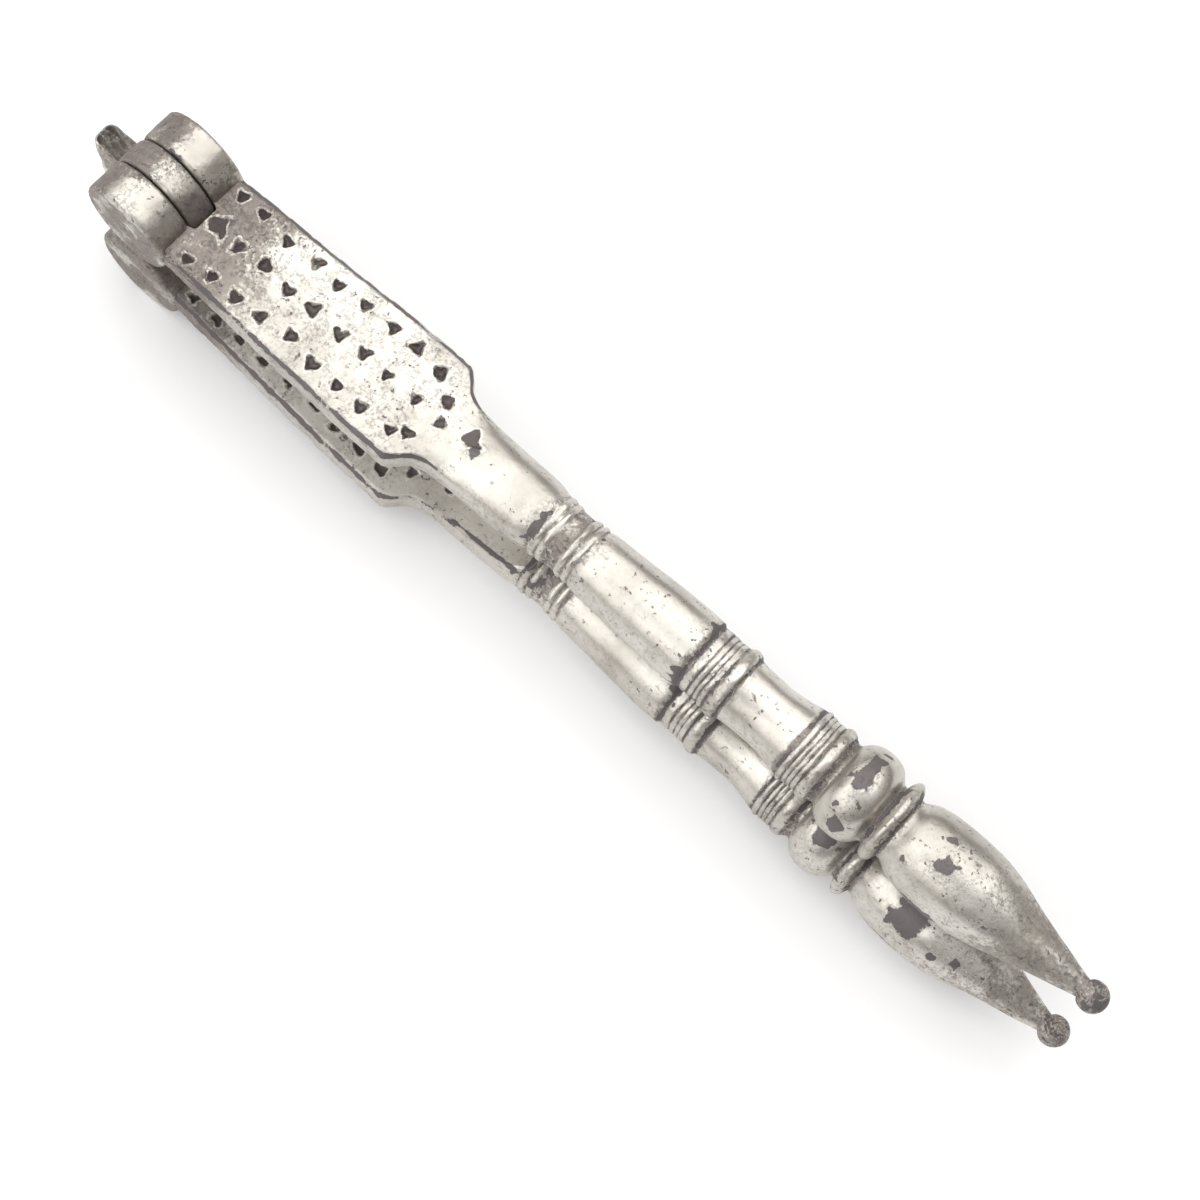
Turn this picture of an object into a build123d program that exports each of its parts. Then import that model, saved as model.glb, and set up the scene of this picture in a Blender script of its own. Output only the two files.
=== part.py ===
from build123d import *
import os

# Double-hinged nutcracker, lying closed. Millimetres.
# +X runs along the arms to their tips, +Y along the pins, +Z from the lower arm to the upper arm.
# The pieces are drawn about the middle of the hinge link, halfway between the two pins, and then
# moved together so that the origin is the middle of the footprint, on the surface they lie on.

# ---- driving dimensions -------------------------------------------------------------------------
pin_spacing = 12.0            # centre to centre of the two hinge pins
pin_d = 3.2                   # hinge pin
pin_running_clearance = 0.05  # radial, pin in the link's eye
knuckle_r = 5.8               # round hinge ends of the arms and eyes of the link
fork_width = 12.8             # over both knuckles of an arm, along Y
link_thickness = 3.5          # hinge link, along Y
link_side_clearance = 0.15    # each side of the link, inside the fork's slot
slot_clearance = 0.35         # beyond the link's eye, at the bottom of the slot

jaw_thickness = 3.5           # flat jaw plate, along Z
jaw_inner_half_gap = 4.1      # inner jaw face to the middle plane, closed
jaw_length = 38.0             # pin centre to the jaw's shoulder
jaw_hinge_width = 12.2        # jaw plate at the knuckles
jaw_shoulder_width = 14.2     # jaw plate at the shoulder
jaw_chamfer = 0.6             # bevel round the jaw's edges

tooth_pitch = 3.68            # punched pits of the jaw faces, along X
tooth_row_offset = 4.25       # outer rows from the middle row, along Y
tooth_r = 0.62                # pit, at the face
tooth_tip_r = 0.05            # pit, at its bottom
tooth_depth = 0.6
tooth_start = 7.3             # first pit of each row, from the pin
tooth_count = 9               # pits in each row

shoulder_radius = 2.6         # concave corner where the jaw narrows into the neck
shoulder_ease = 1.4           # the corner is eased into the neck over this much
shoulder_turn_in = 1.0        # the shoulder's slope ends this far before the neck starts
neck_width = 8.6              # neck, along Y, beside the shoulder
neck_end_width = 7.2          # neck, along Y, at the first collar
neck_rise = 3.5               # rounded outer side of the neck at the first collar, above its axis
neck_fall = 2.4               # flat inner side of the neck at the first collar, below its axis
neck_swell = 0.5              # outer side of the neck stands this much proud, past the shoulder
neck_swell_run = 2.0          # from the neck's start to where it has swelled
neck_inset = 0.05             # the neck's root is sunk this much below the jaw's faces
neck_root = 1.5               # length of the neck's root inside the jaw

handle_drop = 0.6             # handle axis, nearer to the middle plane than the pin
arm_set_angle = 0.6           # each arm lies crossed over the other by this, in degrees

collar_1_start = 56.0         # stations along the arm, from the pin
collar_1_end = 61.6
collar_1_r = 3.75
collar_1_ridges = 2
collar_1_overlap = 0.6        # the neck runs this far into the first collar
grip_start_r = 3.8
grip_start_ease = 0.5         # rounding-in of the grip after the first collar
grip_end_r = 4.2
grip_end_ease = 0.4           # rounding-in of the grip before the second collar
collar_2_start = 77.6
collar_2_end = 82.6
collar_2_r = 4.3
collar_2_ridges = 4
waist_r = 3.65
collar_3_start = 91.4
collar_3_end = 95.4
collar_3_r = 4.5
collar_3_ridges = 4
ball_middle = 98.9
ball_r = 5.25
ring_middle = 103.6
ring_r = 4.95
ring_half_width = 0.75
ring_crest_half_width = 0.25
ring_root_drop = 1.0          # foot of the ring, below its crest
tear_start = 104.6
tear_widest = 111.0
tear_r = 5.0
tear_shoulder = 117.4         # where the full curve of the teardrop turns into its thin tail
tear_shoulder_r = 4.15
tear_tail_sag = 0.15          # hollow of the tail, below a straight taper
tear_tail_r = 1.05            # thin end of the teardrop, at the knob
knob_middle = 130.0
knob_r = 1.75
knob_root = 1.4               # the tail meets the knob this far before the knob's middle
groove_depth = 0.35           # turned grooves of the collars
ridge_rise_share = 0.3        # of a ridge's width: groove to crest
ridge_crest_end_share = 0.7   # of a ridge's width: where the crest ends

tab_reach = 10.2              # stop tab of the link, from the pins' plane towards -X
tab_top = 6.5                 # stop tab, above and below the middle plane
tab_thickness = 3.2           # stop tab, along Y
web_half_share = 0.62         # half width of the link's web, of the eyes' radius
cut_over = 0.5                # cutting tools stand this far out of each side of what they cut

# ---- values that follow ---------------------------------------------------------------------------
pin_z = pin_spacing / 2
axis_z = pin_z - handle_drop
slot_width = link_thickness + 2 * link_side_clearance
slot_r = knuckle_r + slot_clearance
jaw_outer_z = jaw_inner_half_gap + jaw_thickness
neck_start = jaw_length + shoulder_radius


def disc_y(radius, width, x, z):
    """Round plate with its axis along Y, centred on y = 0."""
    return Pos(x, 0, z) * Rot(90, 0, 0) * Cylinder(radius, width)


def turned_handle():
    """Everything from the first collar to the knob, turned about the handle's axis."""
    def grooved(start, end, radius, count):
        """Points of a collar with `count` ridges between shallow grooves."""
        step = (end - start) / count
        points = [(start, radius - groove_depth)]
        for i in range(count):
            points.append((start + (i + ridge_rise_share) * step, radius))
            points.append((start + (i + ridge_crest_end_share) * step, radius))
            points.append((start + (i + 1) * step, radius - groove_depth))
        return points

    collar_1 = grooved(collar_1_start, collar_1_end, collar_1_r, collar_1_ridges)
    collar_2 = grooved(collar_2_start, collar_2_end, collar_2_r, collar_2_ridges)
    collar_3 = grooved(collar_3_start, collar_3_end, collar_3_r, collar_3_ridges)
    ring_root_r = ring_r - ring_root_drop
    ball_end = ring_middle - ring_half_width
    tail_end = (knob_middle - knob_root, tear_tail_r)
    tail_middle = ((tear_shoulder + tail_end[0]) / 2, (tear_shoulder_r + tear_tail_r) / 2 - tear_tail_sag)
    with BuildPart() as turned:
        with BuildSketch(Plane.XZ):
            with BuildLine():
                top = Polyline(*collar_1)
                Polyline(top @ 1, (collar_1_end + grip_start_ease, grip_start_r),
                         (collar_2_start - grip_end_ease, grip_end_r), collar_2[0])
                second = Polyline(*collar_2)
                ThreePointArc(second @ 1, ((collar_2_end + collar_3_start) / 2, waist_r), collar_3[0])
                third = Polyline(*collar_3)
                ball = ThreePointArc(third @ 1, (ball_middle, ball_r), (ball_end, ring_root_r))
                ring = Polyline(ball @ 1, (ring_middle - ring_crest_half_width, ring_r),
                                (ring_middle + ring_crest_half_width, ring_r), (tear_start, ring_root_r))
                tear = ThreePointArc(ring @ 1, (tear_widest, tear_r), (tear_shoulder, tear_shoulder_r))
                tail = ThreePointArc(tear @ 1, tail_middle, tail_end)
                knob = ThreePointArc(tail @ 1, (knob_middle, knob_r), (knob_middle + knob_r, 0))
                Polyline(knob @ 1, (collar_1_start, 0), collar_1[0])
            make_face()
        revolve(axis=Axis.X)
    return turned.part


def neck():
    """Flat inside, rounded outside: from the jaw's thickness to the round of the first collar."""
    def section(x, width, rise, fall):
        half = width / 2
        with BuildSketch(Plane(origin=(x, 0, 0), x_dir=(0, 1, 0), z_dir=(1, 0, 0))) as face:
            with BuildLine():
                inner = Line((-half, -fall), (half, -fall))
                right = Line(inner @ 1, (half, 0))
                arch = ThreePointArc(right @ 1, (0, rise), (-half, 0))
                Line(arch @ 1, inner @ 0)
            make_face()
        return face.sketch
    root_rise = jaw_outer_z - axis_z - neck_inset
    root_fall = axis_z - jaw_inner_half_gap - neck_inset
    return loft([section(jaw_length - neck_root, neck_width, root_rise, root_fall),
                 section(neck_start + neck_swell_run, neck_width, root_rise + neck_swell, root_fall + 2 * neck_inset),
                 section(collar_1_start + collar_1_overlap, neck_end_width, neck_rise, neck_fall)], ruled=True)


def jaw_plate():
    """Flat tapering plate with bevelled edges and rounded-in shoulders."""
    hinge_half = jaw_hinge_width / 2
    shoulder_half = jaw_shoulder_width / 2
    neck_half = neck_width / 2
    turn_in = neck_start - shoulder_turn_in
    with BuildPart() as plate:
        with BuildSketch(Plane.XY.offset(jaw_inner_half_gap)):
            with BuildLine():
                far = Line((0, hinge_half), (jaw_length, shoulder_half))
                slope = Line(far @ 1, (turn_in, neck_half + shoulder_ease))
                ease = Line(slope @ 1, (neck_start + shoulder_ease, neck_half))
                end = Line(ease @ 1, (neck_start + shoulder_ease, -neck_half))
                near_ease = Line(end @ 1, (turn_in, -neck_half - shoulder_ease))
                near_slope = Line(near_ease @ 1, (jaw_length, -shoulder_half))
                near = Line(near_slope @ 1, (0, -hinge_half))
                Line(near @ 1, far @ 0)
            make_face()
        extrude(amount=jaw_thickness)
        edges_round = plate.edges().filter_by(Plane.XY).filter_by(lambda edge: edge.center().X > pin_d)
        chamfer(edges_round, jaw_chamfer)
    return plate.part


def teeth():
    """Conical pits of both jaw faces, in three rows along the jaw."""
    outer = Cone(tooth_tip_r, tooth_r, tooth_depth, align=(Align.CENTER, Align.CENTER, Align.MAX))
    inner = Cone(tooth_r, tooth_tip_r, tooth_depth, align=(Align.CENTER, Align.CENTER, Align.MIN))
    pits = []
    for i in range(tooth_count):
        for y in (-tooth_row_offset, 0, tooth_row_offset):
            x = tooth_start + i * tooth_pitch
            pits.append(Pos(x, y, jaw_outer_z) * outer)
            pits.append(Pos(x, y, jaw_inner_half_gap) * inner)
    return pits


def arm():
    """Upper arm in place: fork, jaw, neck and turned handle in one forging."""
    body = disc_y(knuckle_r, fork_width, 0, pin_z)
    blade = jaw_plate() + Pos(0, 0, axis_z) * (neck() + turned_handle())
    blade = Rot(0, 0, arm_set_angle) * blade
    body = body + blade
    body = body - disc_y(slot_r, slot_width, 0, pin_z)
    body = body - disc_y(pin_d / 2, fork_width + 2 * cut_over, 0, pin_z)
    return body - [Rot(0, 0, arm_set_angle) * pit for pit in teeth()]


def hinge_link():
    """Two eyes joined by a web, with a stop tab standing out beyond the hinge."""
    eyes = disc_y(knuckle_r, link_thickness, 0, pin_z) + disc_y(knuckle_r, link_thickness, 0, -pin_z)
    web = Box(2 * web_half_share * knuckle_r, link_thickness, pin_spacing)
    tab_round = tab_thickness / 2
    tab = Box(tab_reach - tab_round, tab_thickness, 2 * tab_top, align=(Align.MAX, Align.CENTER, Align.CENTER))
    nose = Pos(-tab_reach + tab_round, 0, 0) * Cylinder(tab_round, 2 * tab_top)
    link = eyes + web + tab + nose
    bore = pin_d / 2 + pin_running_clearance
    for z in (pin_z, -pin_z):
        link = link - disc_y(bore, link_thickness + 2 * cut_over, 0, z)
    return link


def pin():
    """Upper hinge pin, flush with both knuckles."""
    return disc_y(pin_d / 2, fork_width, 0, pin_z)


def turned_over(shape):
    """The lower arm is the upper one turned half round about the X axis."""
    return Rot(180, 0, 0) * shape


upper_arm = arm()
pieces = {
    "upper_arm": upper_arm,
    "lower_arm": turned_over(upper_arm),
    "hinge_link": hinge_link(),
    "upper_hinge_pin": pin(),
    "lower_hinge_pin": turned_over(pin()),
}

box = Compound(children=list(pieces.values())).bounding_box()
to_footprint = Pos(-box.center().X, -box.center().Y, -box.min.Z)

os.makedirs("parts", exist_ok=True)
for name, shape in pieces.items():
    placed = to_footprint * shape
    export_step(placed.solids()[0], f"parts/{name}.step")
    print(name, len(placed.solids()), round(placed.volume, 1), placed.is_valid)
print("hinge middle", to_footprint.position)
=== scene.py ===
import math

import bpy
import numpy as np
from mathutils import Matrix, Vector


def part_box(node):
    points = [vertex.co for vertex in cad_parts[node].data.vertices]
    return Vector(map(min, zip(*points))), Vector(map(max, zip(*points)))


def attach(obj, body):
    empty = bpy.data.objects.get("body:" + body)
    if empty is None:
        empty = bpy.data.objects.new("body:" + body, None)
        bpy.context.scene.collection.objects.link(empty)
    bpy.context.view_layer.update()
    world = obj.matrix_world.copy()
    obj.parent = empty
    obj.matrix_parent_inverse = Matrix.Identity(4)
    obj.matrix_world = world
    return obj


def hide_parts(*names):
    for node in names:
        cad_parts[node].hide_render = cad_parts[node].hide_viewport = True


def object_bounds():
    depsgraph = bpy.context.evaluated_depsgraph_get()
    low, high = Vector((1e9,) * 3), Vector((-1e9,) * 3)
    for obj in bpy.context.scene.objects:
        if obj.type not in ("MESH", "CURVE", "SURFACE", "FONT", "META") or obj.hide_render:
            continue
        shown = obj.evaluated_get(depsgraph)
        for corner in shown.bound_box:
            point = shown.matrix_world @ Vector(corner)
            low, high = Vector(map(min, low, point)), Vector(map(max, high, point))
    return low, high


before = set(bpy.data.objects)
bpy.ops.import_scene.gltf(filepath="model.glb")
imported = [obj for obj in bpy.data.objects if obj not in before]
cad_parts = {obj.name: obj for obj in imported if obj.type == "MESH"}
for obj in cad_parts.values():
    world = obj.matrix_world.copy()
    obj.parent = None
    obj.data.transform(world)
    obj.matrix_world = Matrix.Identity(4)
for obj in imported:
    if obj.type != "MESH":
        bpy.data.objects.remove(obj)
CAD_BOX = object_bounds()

bl_info = {
    "name": "Double-hinged nutcracker",
    "version": (1, 0, 0),
    "blender": (4, 5, 0),
    "location": "3D View > Sidebar > Nutcracker",
    "description": "Builds a worn plated-steel nutcracker with turned handles around its fixed frame",
    "category": "Add Mesh",
}

MM = 0.001  # the frame is in metres; shapes below are worked out in millimetres


def node_middle(name):
    """Middle of a frame node's box, in metres."""
    low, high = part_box(name)
    return (np.array(low) + np.array(high)) / 2


UPPER_PIN = node_middle("upper_hinge_pin")
LOWER_PIN = node_middle("lower_hinge_pin")
HINGE_MIDDLE = (UPPER_PIN + LOWER_PIN) / 2
PIN_HEIGHT = float((UPPER_PIN - LOWER_PIN)[2] / 2 / MM)        # upper pin above the hinge's middle
FORK_HALF = float(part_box("upper_hinge_pin")[1][1] / MM)        # half width over the two knuckles
LINK_HALF = float(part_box("hinge_link")[1][1] / MM)             # half thickness of the link
KNUCKLE_R = float((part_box("upper_arm")[1][2] - UPPER_PIN[2]) / MM)
PIN_R = float((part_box("upper_hinge_pin")[1][2] - UPPER_PIN[2]) / MM)
TAB_REACH = float((HINGE_MIDDLE[0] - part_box("hinge_link")[0][0]) / MM)
SLOT_HALF = LINK_HALF + 0.15     # half width of the fork's slot


# ---- sizes and colours a user may change ---------------------------------------------------------

def length(name, description, millimetres):
    return bpy.props.FloatProperty(name=name, description=description, default=millimetres * MM,
                                   min=0.0, unit="LENGTH", precision=4)


def colour(name, description, rgb):
    return bpy.props.FloatVectorProperty(name=name, description=description, default=rgb, size=3,
                                         min=0.0, max=1.0, subtype="COLOR")


class ArmSizes(bpy.types.PropertyGroup):
    """Sizes of one arm, measured from its pin along the arm."""
    jaw_length: length("Jaw length", "Pin to the jaw's shoulder", 38.5)
    jaw_hinge_width: length("Jaw width at hinge", "Width of the flat jaw beside the knuckles", 12.2)
    jaw_shoulder_width: length("Jaw width at shoulder", "Width of the flat jaw at its shoulder", 14.2)
    jaw_inner: length("Half nut gap", "Middle plane to the inner face of the jaw", 4.1)
    jaw_outer: length("Jaw outer face", "Middle plane to the outer face of the jaw", 7.6)
    jaw_bevel: length("Jaw bevel", "Bevel round the jaw's edges", 0.62)
    handle_drop: length("Handle drop", "Handle axis below the pin", 0.6)
    tooth_pitch: length("Pit pitch", "Punched pits along the jaw", 3.7)
    tooth_row: length("Pit row offset", "Outer rows of pits from the middle row", 4.25)
    tooth_depth: length("Pit depth", "Depth of a punched pit", 0.7)
    set_angle: bpy.props.FloatProperty(
        name="Set angle", description="Each arm lies crossed over the other by this angle",
        default=math.radians(0.6), subtype="ANGLE")


class FinishColours(bpy.types.PropertyGroup):
    """Colours of the plating and of what shows where it has worn."""
    plating: colour("Plating", "Bright silver-coloured plating", (0.640, 0.612, 0.560))
    dull: colour("Dulled plating", "Plating gone grey with handling", (0.33, 0.305, 0.265))
    steel: colour("Bare steel", "Dark steel where the plating has flaked", (0.150, 0.138, 0.141))
    tarnish: colour("Tarnish", "Brown film round the hinge", (0.178, 0.143, 0.131))


class StageSettings(bpy.types.PropertyGroup):
    """Floor, lights and camera."""
    floor: colour("Floor", "Plain pale floor", (0.82, 0.82, 0.82))
    key_power: bpy.props.FloatProperty(name="Key power", description="Power of the large soft light",
                                       default=8.0, min=0.0, unit="POWER")
    azimuth: bpy.props.FloatProperty(name="Azimuth", description="Camera azimuth",
                                     default=math.radians(35.707), subtype="ANGLE")
    elevation: bpy.props.FloatProperty(name="Elevation", description="Camera elevation",
                                       default=math.radians(72.888), subtype="ANGLE")
    roll: bpy.props.FloatProperty(name="Roll", description="Camera roll",
                                  default=math.radians(7.208), subtype="ANGLE")
    lens: bpy.props.FloatProperty(name="Lens", description="Focal length on a 36 mm frame, in mm",
                                  default=78.47, min=10.0)


# ---- small mathematical helpers --------------------------------------------------------------------

def smooth(low, high, value):
    """0 below low, 1 above high, and 3t^2 - 2t^3 between."""
    t = np.clip((value - low) / (high - low), 0.0, 1.0)
    return t * t * (3.0 - 2.0 * t)


def through(points, x):
    """Smooth curve through (x, value) points: cubic pieces with slopes limited so it never overshoots."""
    px, py = np.array(points, float).T
    step = np.diff(px)
    slope = np.diff(py) / step
    mid = np.where(slope[:-1] * slope[1:] > 0,
                   2 * slope[:-1] * slope[1:] / (slope[:-1] + slope[1:] + 1e-30), 0.0)
    tangent = np.concatenate([[slope[0]], mid, [slope[-1]]])
    i = np.clip(np.searchsorted(px, x) - 1, 0, len(step) - 1)
    t = np.clip((x - px[i]) / step[i], 0.0, 1.0)
    h = step[i]
    return ((1 + 2 * t) * (1 - t) ** 2 * py[i] + t * (1 - t) ** 2 * h * tangent[i]
            + t * t * (3 - 2 * t) * py[i + 1] + t * t * (t - 1) * h * tangent[i + 1])


def bead(x, middle, half, height):
    """Half-round ridge: height * sqrt(1 - ((x - middle) / half)^2), and 0 outside it."""
    return height * np.sqrt(np.clip(1.0 - ((x - middle) / half) ** 2, 0.0, 1.0))


def lumps(points, size, seed):
    """Gentle unevenness in -1..1: the mean of eight plane waves of about the given size,
    with directions and phases drawn from the seed."""
    draw = np.random.default_rng(seed)
    waves = draw.normal(size=(8, 3))
    waves *= (2 * np.pi / size / np.linalg.norm(waves, axis=1) * draw.uniform(0.6, 1.5, 8))[:, None]
    phase = draw.uniform(0, 2 * np.pi, 8)
    return np.sin(points @ waves.T + phase).mean(-1) * 2.0


# ---- surfaces ---------------------------------------------------------------------------------------

# Columns round an arm's cross-section, from the near top edge across the outer face, down the far
# side, back under the inner face and up the near side. Each run has its number of columns, its
# first and last place on a bevelled rectangle (across, up, bevel share across, bevel share up) and
# its first and last angle on a round.
TOP_COLUMNS = 61
SIDE_COLUMNS = 8
BEVEL_COLUMNS = 3
SECTION_RUNS = (
    (TOP_COLUMNS, (-1, 1, 1, 0), (1, 1, -1, 0), 150, 30),
    (BEVEL_COLUMNS, (1, 1, -1, 0), (1, 1, 0, -1), 30, 24),
    (SIDE_COLUMNS, (1, 1, 0, -1), (1, -1, 0, 1), 24, -24),
    (BEVEL_COLUMNS, (1, -1, 0, 1), (1, -1, -1, 0), -24, -30),
    (TOP_COLUMNS, (1, -1, -1, 0), (-1, -1, 1, 0), -30, -150),
    (BEVEL_COLUMNS, (-1, -1, 1, 0), (-1, -1, 0, 1), -150, -156),
    (SIDE_COLUMNS, (-1, -1, 0, 1), (-1, 1, 0, -1), -156, -204),
    (BEVEL_COLUMNS, (-1, 1, 0, -1), (-1, 1, 1, 0), -204, -210),
)


def loop_columns():
    """Each column's across, up, bevel share across, bevel share up and angle in radians: the runs
    one after another, each evenly shared out between its first and last place."""
    places, angles = [], []
    for count, start, end, turn_start, turn_end in SECTION_RUNS:
        share = np.linspace(0, 1, count, endpoint=False)
        places.append(np.array(start, float) + np.outer(share, np.subtract(end, start)))
        angles.append(turn_start + (turn_end - turn_start) * share)
    return (*np.concatenate(places).T, np.radians(np.concatenate(angles)))


# where the turned handle's features lie along the arm, in millimetres from the pin
COLLAR_1 = (56.2, 61.6)
COLLAR_2 = (77.6, 82.7)
COLLAR_3 = (91.3, 95.5)
RING = 103.5
RING_HALF = 0.95
RING_ROOT = 3.6
RING_HEIGHT = 1.42
BALL = 99.1
BALL_HALF = 3.85
BALL_R = 5.32
KNOB = 130.0
KNOB_R = 1.75
# the handle's smooth core: place along the arm, radius
HANDLE_CORE = (
    (38, 4.3), (45.3, 4.3), (50.0, 4.2), (54.0, 4.02), (56.2, 3.62), (58.9, 3.42), (61.7, 3.45),
    (62.2, 3.74), (64.5, 3.86), (70.0, 4.10), (75.5, 4.27), (77.2, 4.26), (77.7, 3.92),
    (82.4, 3.95), (83.0, 3.82), (84.6, 3.70), (87.0, 3.66), (89.4, 3.92), (91.2, 4.24),
    (95.4, 4.10), (95.9, 3.85), (96.5, 3.8), (101.9, 3.8), (102.4, 3.62), (104.8, 3.7),
    (106.2, 4.45), (108.3, 4.87), (111.2, 5.05), (114.2, 4.92), (117.4, 4.30), (120.2, 3.42),
    (123.4, 2.52), (126.2, 1.80), (128.3, 1.22), (129.0, 1.08), (131.0, 1.0),
)
# the collars' ridges: middle, half width, height
HANDLE_BEADS = (
    (56.7, 0.42, 0.28), (57.7, 0.36, 0.24), (60.3, 0.40, 0.32), (61.3, 0.42, 0.32),
    (78.35, 0.50, 0.16), (79.3, 0.30, 0.12), (79.95, 0.24, 0.09), (80.6, 0.34, 0.17),
    (81.9, 0.76, 0.50), (91.7, 0.36, 0.32), (92.4, 0.24, 0.18), (92.95, 0.24, 0.14),
    (93.55, 0.28, 0.20), (94.65, 0.72, 0.46),
)
# shallow peened dents of the outer face: along, across, size, turn
DENTS = np.array([(7.9, 0.3, 1.0, 0.4), (44.7, 0.8, 0.85, 0.9)])
# old bare places: along the arm, angle round it from +Y, half length, half width, strength
UPPER_PATCHES = ((98.7, 78, 1.1, 3.5, 1.35), (99.4, 156, 1.2, 1.4, 1.25), (110.5, 101, 1.35, 1.5, 1.25),
                 (109.5, 72, 0.7, 0.6, 1.15), (106.9, 132, 0.5, 0.5, 1.15), (111.0, 184, 2.8, 1.0, 1.3),
                 (77.3, 152, 0.9, 1.9, 1.25), (77.2, 55, 0.8, 1.5, 1.15), (56.0, 125, 0.8, 2.2, 1.1),
                 (30.0, 265, 3.2, 2.4, 1.1), (86.0, 280, 2.6, 1.8, 1.2), (69.0, 235, 2.2, 1.4, 1.2),
                 (113.0, 270, 2.6, 1.8, 1.25), (99.0, 300, 1.4, 1.7, 1.25), (62.4, 60, 0.8, 1.2, 1.05),
                 (45.6, 92, 0.9, 0.8, 1.2))
LOWER_PATCHES = ((111.4, -57, 2.3, 2.6, 1.35), (115.6, -38, 1.0, 0.9, 1.2), (117.8, -51, 0.8, 0.8, 1.15),
                 (99.2, -62, 1.5, 1.7, 1.25), (100.9, -100, 1.1, 1.0, 1.15), (77.0, -85, 0.9, 2.4, 1.25),
                 (50.5, -38, 5.6, 0.55, 1.3), (87.0, 80, 2.8, 1.8, 1.15), (70.0, 120, 2.4, 1.6, 1.15),
                 (110.0, 100, 3.0, 1.7, 1.25), (56.2, -70, 0.9, 1.8, 1.15), (118.0, 60, 1.4, 1.1, 1.1))


def stations():
    """Places along the arm, close together where the shape has fine detail."""
    runs = ((4.3, 38.5, 180), (38.5, 56.0, 40), (56.0, 62.0, 44), (62.0, 77.3, 20), (77.3, 83.2, 50),
            (83.2, 91.0, 14), (91.0, 96.0, 42), (96.0, 102.3, 24), (102.3, 105.0, 22),
            (105.0, 128.0, 40), (128.0, KNOB, 8))
    along = np.concatenate([np.linspace(a, b, n, endpoint=False) for a, b, n in runs])
    cap = KNOB + KNOB_R * np.sin(np.linspace(0, np.pi / 2, 12))
    return np.concatenate([along, cap[:-1], [KNOB + KNOB_R * 0.9995]])


def handle_radius(x):
    """Turned radius along the handle: a smooth core with half-round beads laid on its collars,
    an ellipse for the ball, a thin ring, a teardrop and a ball knob on its tail. Also gives how
    near each point is to a bead's crest, 0 to 1."""
    core = through(HANDLE_CORE, x)
    radius = core + sum(bead(x, middle, half, height) for middle, half, height in HANDLE_BEADS)
    ridge = sum(bead(x, middle, half, 1.0) for middle, half, height in HANDLE_BEADS)
    ball = BALL_R * np.clip(1.0 - (np.abs(x - BALL) / BALL_HALF) ** 2.5, 0.0, 1.0) ** 0.5
    off_ring = np.abs(x - RING)
    ring = RING_ROOT + RING_HEIGHT * np.clip(1.0 - (off_ring / RING_HALF) ** 2.0, 0.0, 1.0) ** 0.6
    knob = bead(x, KNOB, KNOB_R, KNOB_R)
    radius = np.where((x > 95.3) & (x < 102.9), np.maximum(radius, ball), radius)
    radius = np.where(off_ring < RING_HALF, np.maximum(radius, ring), radius)
    ridge = np.maximum(ridge, bead(x, RING, RING_HALF, 1.0))
    on_tail = np.maximum(knob, np.where(x < KNOB, radius, 0.0))
    return np.where(x > KNOB - 0.6 * KNOB_R, on_tail, radius), ridge


def pit_places(sizes, seed, outer_face):
    """Centres, sizes and turns of the punched pits on one face: three rows, each set a little
    unevenly by hand, and two more that follow the shoulder in."""
    draw = np.random.default_rng(seed)
    pitch, row = sizes.tooth_pitch / MM, sizes.tooth_row / MM
    x = 7.2 + pitch * np.arange(9)
    places = [np.stack([x + shift, np.full(9, y)], 1)
              for y, shift in ((-row, 0.35), (0.12, -0.1), (row + 0.1, 0.0))]
    if outer_face:
        places[1] = places[1][1:]
        places.append(np.array([(39.5, 2.2), (40.6, 0.1), (38.8, -2.7)]))
    else:
        places.append(np.array([(39.4, 2.4), (41.0, -0.9), (43.3, 1.1), (46.2, -0.5)]))
    places = np.concatenate(places)
    places = places + draw.normal(size=places.shape) * 0.2
    size = draw.uniform(0.56, 0.74, len(places))
    turn = -0.31 + draw.normal(size=len(places)) * 0.3
    return places, size, turn


def punched(x, y, places, size, turn):
    """Three-sided pyramid pits: the distance measure is the largest of three directions 120 degrees
    apart, divided by the pit's size; it is 0 at a pit's middle, 1 on its triangular edge."""
    nearest = np.full(x.shape, 9.0)
    for (px, py), s, a in zip(places, size, turn):
        dx, dy = x - px, y - py
        reach = np.full(x.shape, -9.0)
        for k in range(3):
            direction = a + k * 2 * np.pi / 3
            reach = np.maximum(reach, dx * np.cos(direction) + dy * np.sin(direction))
        rounded = np.hypot(dx, dy) * 0.68
        nearest = np.minimum(nearest, np.maximum(reach, rounded) / s)
    return nearest


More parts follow.
